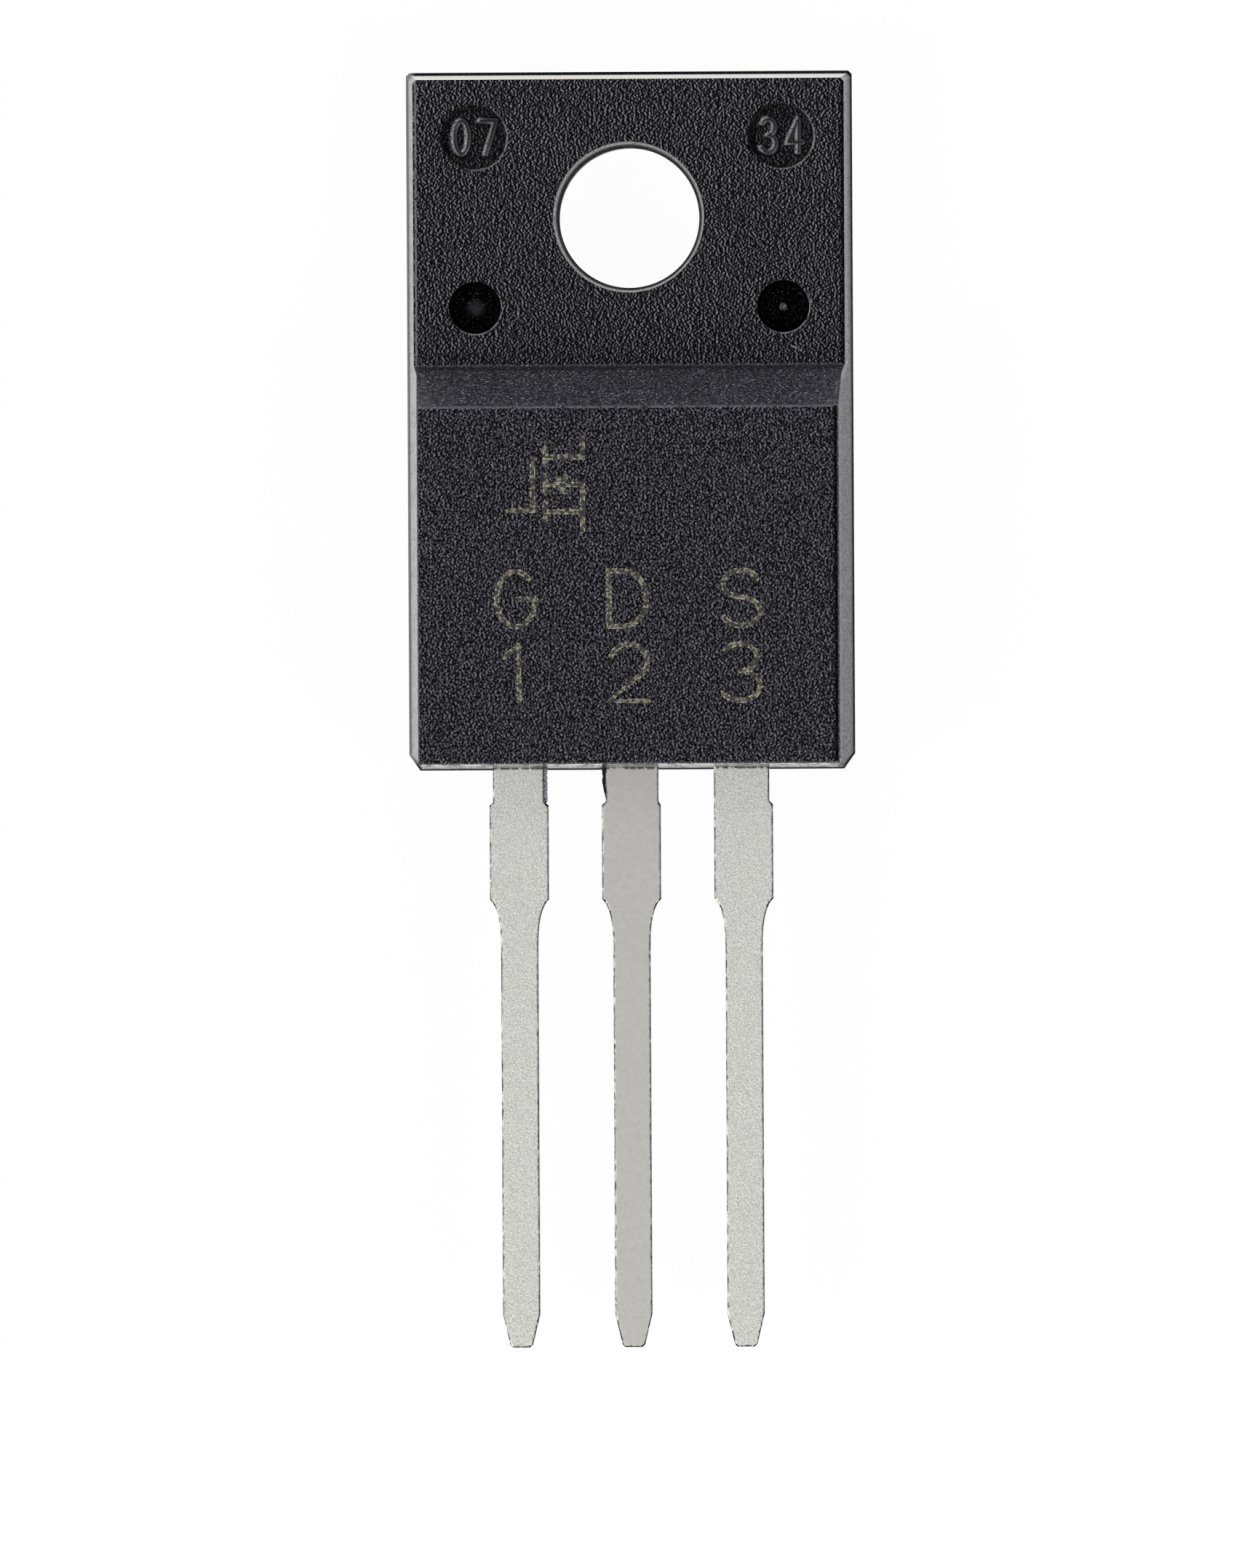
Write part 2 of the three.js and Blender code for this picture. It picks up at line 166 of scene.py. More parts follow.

# Painted highlight lines and painted shade bands of the compound: colours, half widths, and how
# strongly they show. Within LINE_CORE of its half width, a line has its full strength.
LINE_CORE = 0.4
STEP_HIGHLIGHT = grey(0.2, COOL)
FOOT_LINE = 0.03 * MM
FOOT_HIGHLIGHT = 0.25
TOP_LINE = 0.04 * MM
TOP_HIGHLIGHT = 0.45
RIM_HIGHLIGHT = grey(0.2)
WELL_RIM = WELL_RADIUS + 0.01 * MM
WELL_RIM_LINE = 0.02 * MM
EJECTOR_RIM_LINE = 0.03 * MM
EJECTOR_SHADE_RING = EJECTOR_RADIUS - 0.03 * MM
EJECTOR_SHADE_REACH = 0.13 * MM
SIDE_BAND = (0.13 * MM, 0.05 * MM)
TAB_EDGE_HIGHLIGHT = grey(0.14, COOL)
TAB_LINE_INSET = 0.06 * MM
TAB_LINE = 0.03 * MM

# Black for painted shade; light painted on the ledge's -X side; pin wells, plain walls and back,
# and the scuff by the +X well.
BLACK = grey(0.0)
LEDGE_LIGHT = grey(0.3, (1.0, 0.98, 1.02))
lit_ledge_x = (body_low.x + 0.2 * MM, body_low.x + 0.1 * MM)
WELL_BLACK = grey(0.001)
WELL_DOT = grey(0.09)
WELL_DOT_SIZE = 0.03 * MM
WELL_DOT_CREST = (0.72, 0.76)
WELL_HAZE = grey(0.08, COOL)
HAZE_RADII = (0.45 * WELL_RADIUS, 0.0)
HAZE_ACROSS = (0.0, -MM)
WALL_DARK = grey(0.006)
WALL_PALE = grey(0.022)
WALL_CREST = (0.4, 0.6)
WALL_VIOLET = grey(0.014, VIOLET)
SCUFF_PALE = grey(0.4)
SCUFF_X = 3.8 * MM
SCUFF_SETBACK = 6.31 * MM
SCUFF_TURN = math.radians(-23)
SCUFF_HALF = (0.16 * MM, 0.015 * MM, MM)
SCUFF_FADE = (1.0, 0.6)

# Roughness of the compound. A mottle adds to it on the walls, and the lead end and the hole's
# waist are duller. SIDE_ROUGHNESS holds the values for walls turned to -X and to +X.
LEVEL_ROUGHNESS = 0.22
SLOPE_ROUGHNESS = 0.4
SATIN_ROUGHNESS = 0.5
HOLE_ROUGHNESS = 0.22
SIDE_TURN = (-0.5, 0.5)
SIDE_ROUGHNESS = (0.05, 0.3)
MOTTLE_CREST = (0.45, 0.65)
MOTTLE_ROUGHNESS = 0.35
LOW_END_Z = (3.2 * MM, 2.2 * MM)
LOW_END_ADDED = 0.3
DULL_WAIST_Z = WAIST_Z + 0.1 * MM
DULL_WAIST_REACH = 0.5 * MM
DULL_WAIST_ADDED = 0.7

# Gloss of the compound. A drop is how far below the face a point of a wall is. BRINK_POLISH holds
# a value for the front and one for the tab.
EPOXY_IOR = 1.55
POLISH_IOR = 1.8
POLISH_ROUGHNESS = 0.03
BRINK_DROP = (0.55 * MM, 0.3 * MM)
BRINK_POLISH = (0.9, 0.3)
LEAD_END_DROP = (1.5 * MM, 1.0 * MM)
LEAD_END_POLISH = 0.5
SIDE_POLISH = 0.25
# The satin gloss of the tab's end wall takes a painted reflection tint, cream above, bluish below.
REFLECTION_CREAM = grey(0.9, (1.0, 0.95, 0.85))
REFLECTION_BLUE = grey(1.0, (0.93, 0.97, 1.0))
SATIN_DROP = (0.3 * MM, 0.7 * MM)
SATIN_EDGE_ON = (0.78, 0.88)
SPECULAR_PLAIN = 0.5
SPECULAR_SPARKED = 0.2
SPECULAR_UNLIT = 0.04
WAIST_UNLIT = (0.3, 0.6)
GRIME_EDGE_ON = (0.8, 0.87)
STREAK_SIZE = 0.08 * MM
STREAK_DRAWN = (0.35, 0.35, 0.1)
STREAK_CREST = (0.48, 0.56)
SIDE_STREAKS = 0.4
SPECKLE_SIZE = 0.09 * MM
SPECKLE_DRAWN = (1, 1, 0.08)
SPECKLE_CREST = (0.46, 0.6)
SPECKLE_SHARE = 0.8

# Relief too fine for the solids: the height of each texture, and rounded edges.
SPARK_RELIEF = 0.008 * MM
WALL_RELIEF = 0.004 * MM
POLISHED_RELIEF = 0.006 * MM
MARK_RELIEF = 0.01 * MM
METAL_RELIEF = 0.003 * MM
DIE_RELIEF = 0.001 * MM
EDGE_RADIUS = 0.02 * MM

# Metals. CUT_REACH is how far from an edge a metal's rounding starts. The painted shade line of a
# cut edge lies where the rounded and the flat normals agree less than a limit, which varies
# between the values of CUT_LIMIT. BREAK_ADDED holds what is added to the breaks on the -X side
# and elsewhere, so that the lit -X side has less painted shade. ROOT_SHADE is painted shade where
# a lead leaves the moulding. Copper is bare inside the moulding.
COPPER = grey(0.75, (1.0, 0.58, 0.42))
CUT_SHADE = grey(0.003)
CUT_REACH = 0.08 * MM
CUT_DRAWN = (1, 0.4, 1)
CUT_LIMIT_SIZE = 0.04 * MM
CUT_LIMIT = (0.9999, 0.965)
CUT_SHARPNESS = -0.002
BREAK_SIZE = 0.1 * MM
BREAK_CREST = (0.36, 0.5)
BREAK_TURN = (-0.05, 0.05)
BREAK_ADDED = (-0.04, 0.06)
ROOT_SHADE = grey(0.01)
ROOT_SHARE = 0.85
ROOT_OFFSET = 0.085 * MM
ROOT_LINE = 0.05 * MM
ROOT_JAGS = 0.04 * MM
bare_y = (lead_end_y + 0.1 * MM, lead_end_y + 0.3 * MM)
TIN_GRAIN = 0.022 * MM
FRAME_GRAIN = 0.08 * MM
WIRE_GRAIN = 0.03 * MM
SOLDER_GRAIN = 0.1 * MM
METAL_TURN = math.radians(-35)
METAL_DRAWN = (1, 2, 1)
METAL_CREST = (0.35, 0.65)

# The die.
CELL_SIZE = 0.02 * MM
CELL_CREST = (0.45, 0.55)
CELL_WALL = grey(0.5)
CELL_TOP = grey(0.6, (1.0, 0.98, 0.94))
DIE_SIDE = grey(0.08, (1.0, 1.0, 1.15))
DIE_TOP_RISE = (0.5, 0.9)
DIE_ROUGHNESS = 0.35

# Compound where the mould was polished, with painted light on the faces turned to a given way.
POLISHED_DARK = grey(0.002)
POLISHED_ROUGHNESS = 0.3
POLISHED_SIZE = 0.04 * MM
POLISHED_CREST = (0.35, 0.6)
POLISHED_LIT_FACING = (0.42, 0.78)

# Leads beside the moulding, as cut.
STUB_WIDTH = 1.33 * MM
GATE_TRIM = 0.1 * MM
DRAIN_TRIM = 0.09 * MM

# Marks on the front: strokes that stand a hair above it, with raised edges. A profile gives each
# point's share of the half width and of the height, from the middle of a stroke to its side.
# MARK_EDGE_SHARE holds how much ink shows on the middle and on the raised edges: the brighter
# raised edges are a painted highlight.
SYMBOL_X = -1.705 * MM
SYMBOL_SETBACK = 6.44 * MM
SYMBOL_HALF = 1.05 * MM
ROWS = (("GDS", 3.86 * MM, 1.25 * MM), ("123", 2.19 * MM, 1.28 * MM))
GLYPH_WIDTH = 0.7
MARK_STROKE = 0.13 * MM
MARK_HEIGHT = 0.004 * MM
MARK_PROFILE = ((0, 0.4), (0.45, 0.5), (0.75, 1.0), (1.0, 0.0))
MARK_INK = grey(0.52, (1.0, 0.93, 0.64))
MARK_SPECK = grey(0.012, WARM)
MARK_SPECK_SIZE = 0.08 * MM
MARK_COVER = (0.48, 0.58)
MARK_EDGE_SHARE = (0.3, 1.0)
MARK_ROUGHNESS = 0.7

# Cavity numbers raised in the ejector circles, with rounded strokes.
CAVITY_NUMBERS = ("07", "34")
NUMBER_HEIGHT = 0.75 * MM
NUMBER_NARROW = 0.65
NUMBER_GAP = 0.35
NUMBER_STROKE = 0.2 * MM
NUMBER_RISE = 0.06 * MM
NUMBER_PROFILE = ((0, 1.0), (0.25, 0.95), (0.6, 0.6), (1.0, 0.0))

# Stroke meshes: the degrees between an arc's points, the most that a corner widens, the steps round
# an end, and how far a stroke is sunk.
ARC_STEP = 12
MITRE_LIMIT = 1.6
END_STEPS = 6
SINK = 0.002 * MM

# Thin resin left beside two leads. It narrows toward its end, and its outer edge is ragged.
FLASH_WIDTH = 0.075 * MM
FLASH_STEP = 0.04 * MM
FLASH_INSET = 0.1 * MM
FLASH_SHRINK = 0.02 * MM
FLASH_TAPER = 0.8
FLASH_RAGGED = (0.8, 1.1)

# The ring in a pin well, as radius and height in millimetres.
RING_PROFILE = ((0, 0.008), (0.03, 0.01), (0.055, 0.035), (0.075, 0.04), (0.095, 0.02), (0.1, -0.01))
RING_SIDES = 24

# Camera: nearly straight above, a little towards +X, with the part low in a tall picture.
CAMERA_DISTANCE = 0.5
CAMERA_YAW = math.radians(1.31)
CAMERA_ROLL = math.radians(0.3)
CLIP_RANGE = (0.001, 10)
PICTURE_HEIGHT = 35.49 * MM
PICTURE_DROP = 1.71 * MM
PICTURE_SHIFT = -0.08 * MM
SENSOR = 36.0

# Light: a pale surround with a dimmer zenith, and two soft lamps, each with its azimuth,
# elevation and radiance.
HORIZON_LIGHT = 0.75
ZENITH_LIGHT = 0.03
ZENITH_EDGE = 0.75
LAMP_DISTANCE = 0.6
LAMP_SIZE = 0.25
LAMPS = (("key", -120, 50, 7.5), ("fill", 130, 50, 5.5))
FLOOR_SIZE = 3.0
FLOOR_GAP = 0.02 * MM
FLOOR_GLOW = 0.97
FLOOR_COLOUR = (0.9, 0.9, 0.9, 1)
WHITE = (1, 1, 1, 1)


class Shader:
    """A material's node tree, with short ways to add and join its nodes."""

    def __init__(self, name, block=None):
        self.block = block or bpy.data.materials.new(name)
        self.block.use_nodes = True
        self.tree = self.block.node_tree
        self.tree.nodes.clear()

    def add(self, kind, inputs=None, **settings):
        node = self.tree.nodes.new("ShaderNode" + kind)
        for name, value in settings.items():
            setattr(node, name, value)
        for key, value in (inputs or {}).items():
            if isinstance(value, bpy.types.NodeSocket):
                self.tree.links.new(value, node.inputs[key])
            else:
                node.inputs[key].default_value = value
        return node

    def math(self, operation, a, b=0.0, clamp=False):
        return self.add("Math", {0: a, 1: b}, operation=operation, use_clamp=clamp).outputs[0]

    def most(self, a, b):
        return self.math("MAXIMUM", a, b)

    def without(self, share):
        """The share that another share leaves."""
        return self.math("SUBTRACT", 1.0, share)

    def both(self, *masks):
        """The share that several masks leave together."""
        product = masks[0]
        for mask in masks[1:]:
            product = self.math("MULTIPLY", product, mask)
        return product

    def remap(self, value, low, high, start=0.0, end=1.0, smooth=False):
        kind = "SMOOTHSTEP" if smooth else "LINEAR"
        sockets = {"Value": value, 1: low, 2: high, 3: start, 4: end}
        return self.add("MapRange", sockets, interpolation_type=kind).outputs[0]

    def between(self, share, ends):
        """The number that a share gives between two ends."""
        return self.remap(share, 0.0, 1.0, *ends)

    def near(self, value, middle, reach):
        """1 where a value is at middle, falling to 0 at reach from it."""
        gap = self.math("ABSOLUTE", self.math("SUBTRACT", value, middle))
        return self.remap(gap, reach, LINE_CORE * reach)

    def mix(self, factor, a, b):
        """A number between two, as blend is a colour between two."""
        return self.add("Mix", {0: factor, 2: a, 3: b}).outputs[0]

    def blend(self, factor, a, b):
        return self.add("Mix", {0: factor, 6: a, 7: b}, data_type="RGBA").outputs[2]

    def place(self):
        return self.add("TexCoord").outputs["Object"]

    def normal(self):
        return self.add("NewGeometry").outputs["Normal"]

    def facing(self):
        """0 where a surface is seen face-on and 1 where it is seen edge-on, for gloss."""
        return self.add("LayerWeight", {"Blend": 0.5}).outputs["Facing"]

    def split(self, vector):
        return tuple(self.add("SeparateXYZ", {0: vector}).outputs)

    def stretch(self, vector, scale):
        return self.add("VectorMath", {0: vector, 1: scale}, operation="MULTIPLY").outputs[0]

    def shift(self, vector, way):
        return self.add("VectorMath", {0: vector, 1: way}, operation="ADD").outputs[0]

    def length(self, vector):
        return self.add("VectorMath", {0: vector}, operation="LENGTH").outputs["Value"]

    def dot(self, a, b):
        return self.add("VectorMath", {0: a, 1: b}, operation="DOT_PRODUCT").outputs["Value"]

    def noise(self, vector, size, detail=2.0, roughness=0.5):
        sockets = {"Vector": vector, "Scale": 1 / size, "Detail": detail, "Roughness": roughness}
        return self.add("TexNoise", sockets).outputs["Fac"]

    def round_edge(self, radius, samples):
        return self.add("Bevel", {"Radius": radius}, samples=samples).outputs[0]

    def bump(self, height, distance, normal=None):
        sockets = {"Height": height, "Distance": distance}
        if normal is not None:
            sockets["Normal"] = normal
        return self.add("Bump", sockets).outputs[0]

    def finish(self, surface):
        self.add("OutputMaterial", {"Surface": surface})
        return self.block

    def principled(self, **sockets):
        """Ends the material with one shader. A socket's name has _ for each space."""
        named = {name.replace("_", " "): value for name, value in sockets.items()}
        return self.finish(self.add("BsdfPrincipled", named).outputs[0])


def add_camera():
    """The camera looks straight at the front, from a little to the +X side, turned a little."""
    back = Vector((math.sin(CAMERA_YAW), 0, math.cos(CAMERA_YAW)))
    level_up = Vector((0, 1, 0))
    level_right = level_up.cross(back)
    turn = Matrix.Rotation(-CAMERA_ROLL, 3, back)
    right = turn @ level_right
    up = turn @ level_up
    low, high = cad_box
    target = Vector((PICTURE_SHIFT, (low.y + high.y) / 2 - PICTURE_DROP, lead_high.z))
    data = bpy.data.cameras.new("camera")
    data.sensor_width = SENSOR
    data.lens = SENSOR * CAMERA_DISTANCE / PICTURE_HEIGHT
    data.clip_start, data.clip_end = CLIP_RANGE
    camera = bpy.data.objects.new("camera", data)
    bpy.context.scene.collection.objects.link(camera)
    placed = Matrix((right, up, back)).transposed().to_4x4()
    placed.translation = target + back * CAMERA_DISTANCE
    camera.matrix_world = placed
    bpy.context.scene.camera = camera


def add_lamp(name, azimuth, elevation, radiance):
    """A square soft lamp aimed at the part. Azimuth 0 is the +Y side and 90 the +X side."""
    turn, lift = math.radians(azimuth), math.radians(elevation)
    level = math.cos(lift)
    way = Vector((math.sin(turn) * level, math.cos(turn) * level, math.sin(lift)))
    data = bpy.data.lights.new(name, "AREA")
    data.shape = "SQUARE"
    data.size = LAMP_SIZE
    data.energy = radiance * math.pi * LAMP_SIZE * LAMP_SIZE
    lamp = bpy.data.objects.new(name, data)
    bpy.context.scene.collection.objects.link(lamp)
    lamp.location = way * LAMP_DISTANCE
    lamp.rotation_euler = way.to_track_quat("Z", "Y").to_euler()
    lamp.visible_camera = False


def add_world():
    world = bpy.data.worlds.new("studio")
    sky = Shader("studio", world)
    direction = sky.add("TexCoord").outputs["Generated"]
    height = sky.split(direction)[2]
    level = sky.remap(height, ZENITH_EDGE, 1.0, HORIZON_LIGHT, ZENITH_LIGHT)
    light = sky.add("Background", {"Color": WHITE, "Strength": level}).outputs[0]
    sky.add("OutputWorld", {"Surface": light})
    bpy.context.scene.world = world


def add_floor():
    """A pale floor that looks white but keeps the part's shadow."""
    half = FLOOR_SIZE / 2
    mesh = bpy.data.meshes.new("floor")
    corners = [(-half, -half, 0), (half, -half, 0), (half, half, 0), (-half, half, 0)]
    mesh.from_pydata(corners, [], [(0, 1, 2, 3)])
    floor = bpy.data.objects.new("floor", mesh)
    floor.location.z = -FLOOR_GAP
    bpy.context.scene.collection.objects.link(floor)
    pale = Shader("pale_floor")
    ray = pale.add("LightPath").outputs
    seen = pale.math("ADD", ray["Is Camera Ray"], ray["Is Glossy Ray"])
    seen = pale.math("ADD", seen, ray["Is Transmission Ray"], clamp=True)
    share = pale.math("MULTIPLY", seen, FLOOR_GLOW)
    lit = pale.add("BsdfDiffuse", {"Color": FLOOR_COLOUR}).outputs[0]
    glow = pale.add("Emission", {"Color": WHITE, "Strength": 1.0}).outputs[0]
    surface = pale.add("MixShader", {0: share, 1: lit, 2: glow}).outputs[0]
    mesh.materials.append(pale.finish(surface))


def pin_circle(look, at, spacing, setback):
    """The way in plan from the nearer of a pair of pin circles: across, along and away."""
    centre = look.math("MULTIPLY", look.math("SIGN", at.across), spacing / 2)
    across = look.math("SUBTRACT", at.across, centre)
    along = look.math("SUBTRACT", at.along, tab_end_y - setback)
    flat = look.add("CombineXYZ", {0: across, 1: along}).outputs[0]
    return SimpleNamespace(across=across, along=along, away=look.length(flat))


def lit_spark_ridges(look, place, upright):
    """Fine ridges, 1 on the flanks that face -X, a painted highlight as if lit from there, and near
    0 in painted shade on the other flanks. upright is 1 where they run mostly along Y, and stand
    out more."""
    drawn = look.stretch(place, GRAIN_DRAWN)
    beside = look.shift(drawn, (GRAIN_SHIFT, 0, 0))
    here, there = [
        look.math("SUBTRACT", look.noise(way, GRAIN_SIZE, GRAIN_DETAIL), 0.5)
        for way in (drawn, beside)
    ]
    here = look.math("MULTIPLY", here, look.between(upright, FLANK_SHARE))
    flank = look.math("SUBTRACT", there, here)
    dark = look.between(upright, FLANK_DARK)
    bright = look.between(upright, FLANK_BRIGHT)
    return look.math("POWER", look.remap(flank, dark, bright), TONE_POWER)


def body_regions(look):
    """What the moulding's finish is worked out from: places, the way that the surface faces, and
    masks of the parts of its surface."""
    at = SimpleNamespace(place=look.place())
    at.across, at.along, at.height = look.split(at.place)
    at.turn, at.lean, at.rise = look.split(look.normal())
    at.wall = look.remap(at.rise, *WALL_RISE)
    at.slope = look.both(
        look.remap(at.rise, *SLOPE_RISE_LOW), look.remap(at.rise, *SLOPE_RISE_HIGH)
    )
    at.level = look.remap(at.rise, *SQUARE_ON)
    at.back = look.remap(at.rise, *TURNED_AWAY)
    at.lead_end = look.remap(at.lean, *TURNED_AWAY)
    at.above_ledge = look.remap(at.height, *above_ledge_z)
    at.on_tab = look.remap(at.height, *on_tab_z)
    at.sparked = look.both(at.level, at.above_ledge)

    # Noise, and the shares that break painted highlight lines and the scuff up.
    at.fine = look.noise(at.place, FINE_SIZE, detail=3.0, roughness=0.6)
    at.patches = look.noise(at.place, PATCH_SIZE, detail=2.0)
    at.broken = look.remap(at.patches, *BROKEN_LINE)
    at.broken_rim = look.remap(at.patches, *BROKEN_RIM)

    # Pin circles, and the hole with its waist.
    at.ejector = pin_circle(look, at, EJECTOR_SPACING, EJECTOR_SETBACK)
    at.well = pin_circle(look, at, WELL_SPACING, WELL_SETBACK)
    sunk = look.remap(at.height, *in_well_z)
    at.in_well = look.both(look.remap(at.well.away, *IN_WELL), at.on_tab, sunk)
    way = look.add("VectorMath", {0: at.place, 1: hole_centre}, operation="SUBTRACT").outputs[0]
    at.in_hole = look.remap(look.length(way), *IN_HOLE)
    at.waist = look.both(at.in_hole, look.near(at.height, DULL_WAIST_Z, DULL_WAIST_REACH))
    at.outside = look.without(look.most(at.in_hole, at.in_well))

    # How far below the front, slope or tab face a point of a side wall is.
    face_z = look.remap(at.along, slope_top_y, slope_foot_y, front_z, tab_z)
    at.drop = look.math("SUBTRACT", face_z, at.height)
    return at


def sparked_colour(look, at, crest):
    """Level faces: ridges bright with painted light over near black, darker in the ejector circles.
    """
    ridge = look.blend(at.on_tab, FRONT_LIT_FLANK, TAB_LIT_FLANK)
    sunk = look.remap(at.height, *in_ejector_z)
    ridge = look.blend(look.both(sunk, at.on_tab), ridge, EJECTOR_LIT_FLANK)
    return look.blend(crest, SPARK_BLACK, ridge)


def slope_colour(look, at):
    """The slope: fine grit with a few bright flecks, shaded above its foot."""
    grit = look.noise(at.place, GRIT_SIZE, detail=3.0, roughness=0.65)
    grit = look.math("POWER", look.remap(grit, *GRIT_CREST), TONE_POWER)
    colour = look.blend(grit, SLOPE_PIT, SLOPE_GRIT)
    flecks = look.remap(look.noise(at.place, FLECK_SIZE, detail=0.0), *FLECK_CREST)
    colour = look.blend(flecks, colour, SLOPE_FLECK)
    shade = look.near(at.along, slope_foot_y - SHADE_REACH, SHADE_REACH)
    return look.blend(look.math("MULTIPLY", shade, SHADE_SHARE), colour, SLOPE_SHADE)


def paint_step_highlights(look, at, base):
    """Painted highlight lines along the slope's foot and top, where its edges would catch the light.
    """
    foot = look.math("MULTIPLY", look.near(at.along, slope_foot_y, FOOT_LINE), FOOT_HIGHLIGHT)
    top = look.math("MULTIPLY", look.near(at.along, slope_top_y, TOP_LINE), TOP_HIGHLIGHT)
    painted_edge_line = look.both(look.most(foot, top), look.without(at.wall), at.above_ledge, at.broken)
    return look.blend(painted_edge_line, base, STEP_HIGHLIGHT)


def paint_well_rim_highlights(look, at, base):
    """Painted highlight on the rims of the pin wells, toward +X and -Y."""
    rim = look.both(look.near(at.well.away, WELL_RIM, WELL_RIM_LINE), at.sparked)
    side = look.math("SUBTRACT", at.well.across, at.well.along)
    side = look.remap(side, 0.2 * WELL_RADIUS, WELL_RADIUS)
    return look.blend(look.both(rim, side, at.broken_rim), base, RIM_HIGHLIGHT)


def paint_ejector_rim_light(look, at, base):
    """Painted highlight on the rims of the ejector circles toward +X, and painted shade under their
    -X rims.
    """
    rim = look.near(at.ejector.away, EJECTOR_RADIUS, EJECTOR_RIM_LINE)
    side = look.math("SUBTRACT", at.ejector.across, look.math("MULTIPLY", at.ejector.along, 0.5))
    side = look.remap(side, 0.1 * EJECTOR_RADIUS, 0.9 * EJECTOR_RADIUS)
    base = look.blend(look.both(rim, at.sparked, side, at.broken_rim), base, RIM_HIGHLIGHT)
    side = look.math("SUBTRACT", look.math("MULTIPLY", at.ejector.along, 0.3), at.ejector.across)
    side = look.remap(side, 0.2 * EJECTOR_RADIUS, 0.8 * EJECTOR_RADIUS)
    inner = look.near(at.ejector.away, EJECTOR_SHADE_RING, EJECTOR_SHADE_REACH)
    return look.blend(look.both(inner, at.sparked, side), base, BLACK)


def shade_and_light_face_edges(look, at, base):
    """A dark band of painted shade just inside the +X edge of the front and tab, and a thin line of
    painted highlight inside the tab's -X edge."""
    face_edge = look.remap(at.on_tab, 0.0, 1.0, front_edge_x, tab_edge_x)
    band = look.remap(look.math("SUBTRACT", face_edge, at.across), *SIDE_BAND)
    base = look.blend(look.both(band, at.sparked), base, BLACK)
    line = look.near(look.math("ADD", face_edge, at.across), TAB_LINE_INSET, TAB_LINE)
    line = look.both(line, at.sparked, at.on_tab, at.broken)
    return look.blend(line, base, TAB_EDGE_HIGHLIGHT)


def light_ledge_side(look, at, base):
    """The parting ledge is painted pale on the -X side, as light that falls from there."""
    side = look.remap(at.across, *lit_ledge_x)
    ledge = look.both(side, at.level, look.without(at.above_ledge))
    return look.blend(ledge, base, LEDGE_LIGHT)


def colour_well_floors(look, at, base):
    """Black floors of the pin wells, with a few pale specks, and haze in the -X one."""
    floor = look.both(look.remap(at.well.away, *ON_WELL_FLOOR), at.level)
    dots = look.remap(look.noise(at.place, WELL_DOT_SIZE, detail=0.0), *WELL_DOT_CREST)
    base = look.blend(floor, base, look.blend(dots, WELL_BLACK, WELL_DOT))
    haze = look.remap(at.well.away, *HAZE_RADII, smooth=True)
    haze = look.both(haze, floor, at.patches, look.remap(at.across, *HAZE_ACROSS))
    return look.blend(haze, base, WELL_HAZE)


def colour_walls(look, at, base):
    """Walls and the back are plain, the +X walls a little violet, and the wells' walls black."""
    plain = look.blend(look.remap(at.fine, *WALL_CREST), WALL_DARK, WALL_PALE)
    plain = look.blend(look.remap(at.turn, *SQUARE_ON), plain, WALL_VIOLET)
    plain = look.blend(at.in_well, plain, WELL_BLACK)
    return look.blend(look.most(at.wall, at.back), base, plain)


def add_scuff(look, at, base):
    """A short scuff beside the +X well."""
    sockets = {
        "Vector": at.place,
        "Location": (SCUFF_X, tab_end_y - SCUFF_SETBACK, tab_z),
        "Rotation": (0, 0, SCUFF_TURN),
        "Scale": SCUFF_HALF,
    }
    way = look.add("Mapping", sockets, vector_type="TEXTURE").outputs[0]
    scuff = look.remap(look.length(way), *SCUFF_FADE)
    return look.blend(look.both(scuff, at.broken), base, SCUFF_PALE)


def epoxy_roughness(look, at):
    """Even on the level faces and the slope. On the walls it is mottled and least on the -X side,
    and the lead end's lower part and the hole's waist are dull."""
    mottle = look.remap(at.fine, *MOTTLE_CREST, 0.0, MOTTLE_ROUGHNESS)
    walls = look.math("ADD", look.remap(at.turn, *SIDE_TURN, *SIDE_ROUGHNESS), mottle)
    low_end = look.both(at.lead_end, look.remap(at.height, *LOW_END_Z))
    walls = look.math("ADD", walls, look.math("MULTIPLY", low_end, LOW_END_ADDED))
    walls = look.mix(at.in_hole, walls, look.math("ADD", mottle, HOLE_ROUGHNESS))
    walls = look.math("ADD", walls, look.math("MULTIPLY", at.waist, DULL_WAIST_ADDED))
    return look.mix(at.slope, look.mix(at.wall, LEVEL_ROUGHNESS, walls), SLOPE_ROUGHNESS)


def wall_polish(look, at):
    """Where walls shine: most along their top edges, where the mould was polished."""
    brink = look.remap(at.drop, *BRINK_DROP)
    brink = look.math("MULTIPLY", brink, look.between(at.on_tab, BRINK_POLISH))
    end = look.remap(at.drop, *LEAD_END_DROP, 0.0, LEAD_END_POLISH)
    end = look.both(at.lead_end, end, at.patches)
    side = look.remap(at.turn, *TURNED_AWAY, 0.0, SIDE_POLISH)
    return look.most(look.most(brink, end), side)


def wall_grime(look, at, facing):
    """Where grime takes the gloss of walls seen nearly edge-on: in streaks at the lead end and on
    the -X side, and in fine speckle on the +X side."""
    streaks = look.stretch(at.place, STREAK_DRAWN)
    streaks = look.noise(streaks, STREAK_SIZE, detail=2.0, roughness=0.6)
    side = look.remap(at.turn, *TURNED_AWAY, 0.0, SIDE_STREAKS)
    streaks = look.both(look.most(at.lead_end, side), look.remap(streaks, *STREAK_CREST))
    speckle = look.noise(look.stretch(at.place, SPECKLE_DRAWN), SPECKLE_SIZE, detail=1.0)
    speckle = look.remap(speckle, *SPECKLE_CREST, 0.0, SPECKLE_SHARE)
    speckle = look.both(look.remap(at.turn, *TURNED_TO), speckle)
    return look.both(look.most(streaks, speckle), look.remap(facing, *GRIME_EDGE_ON))


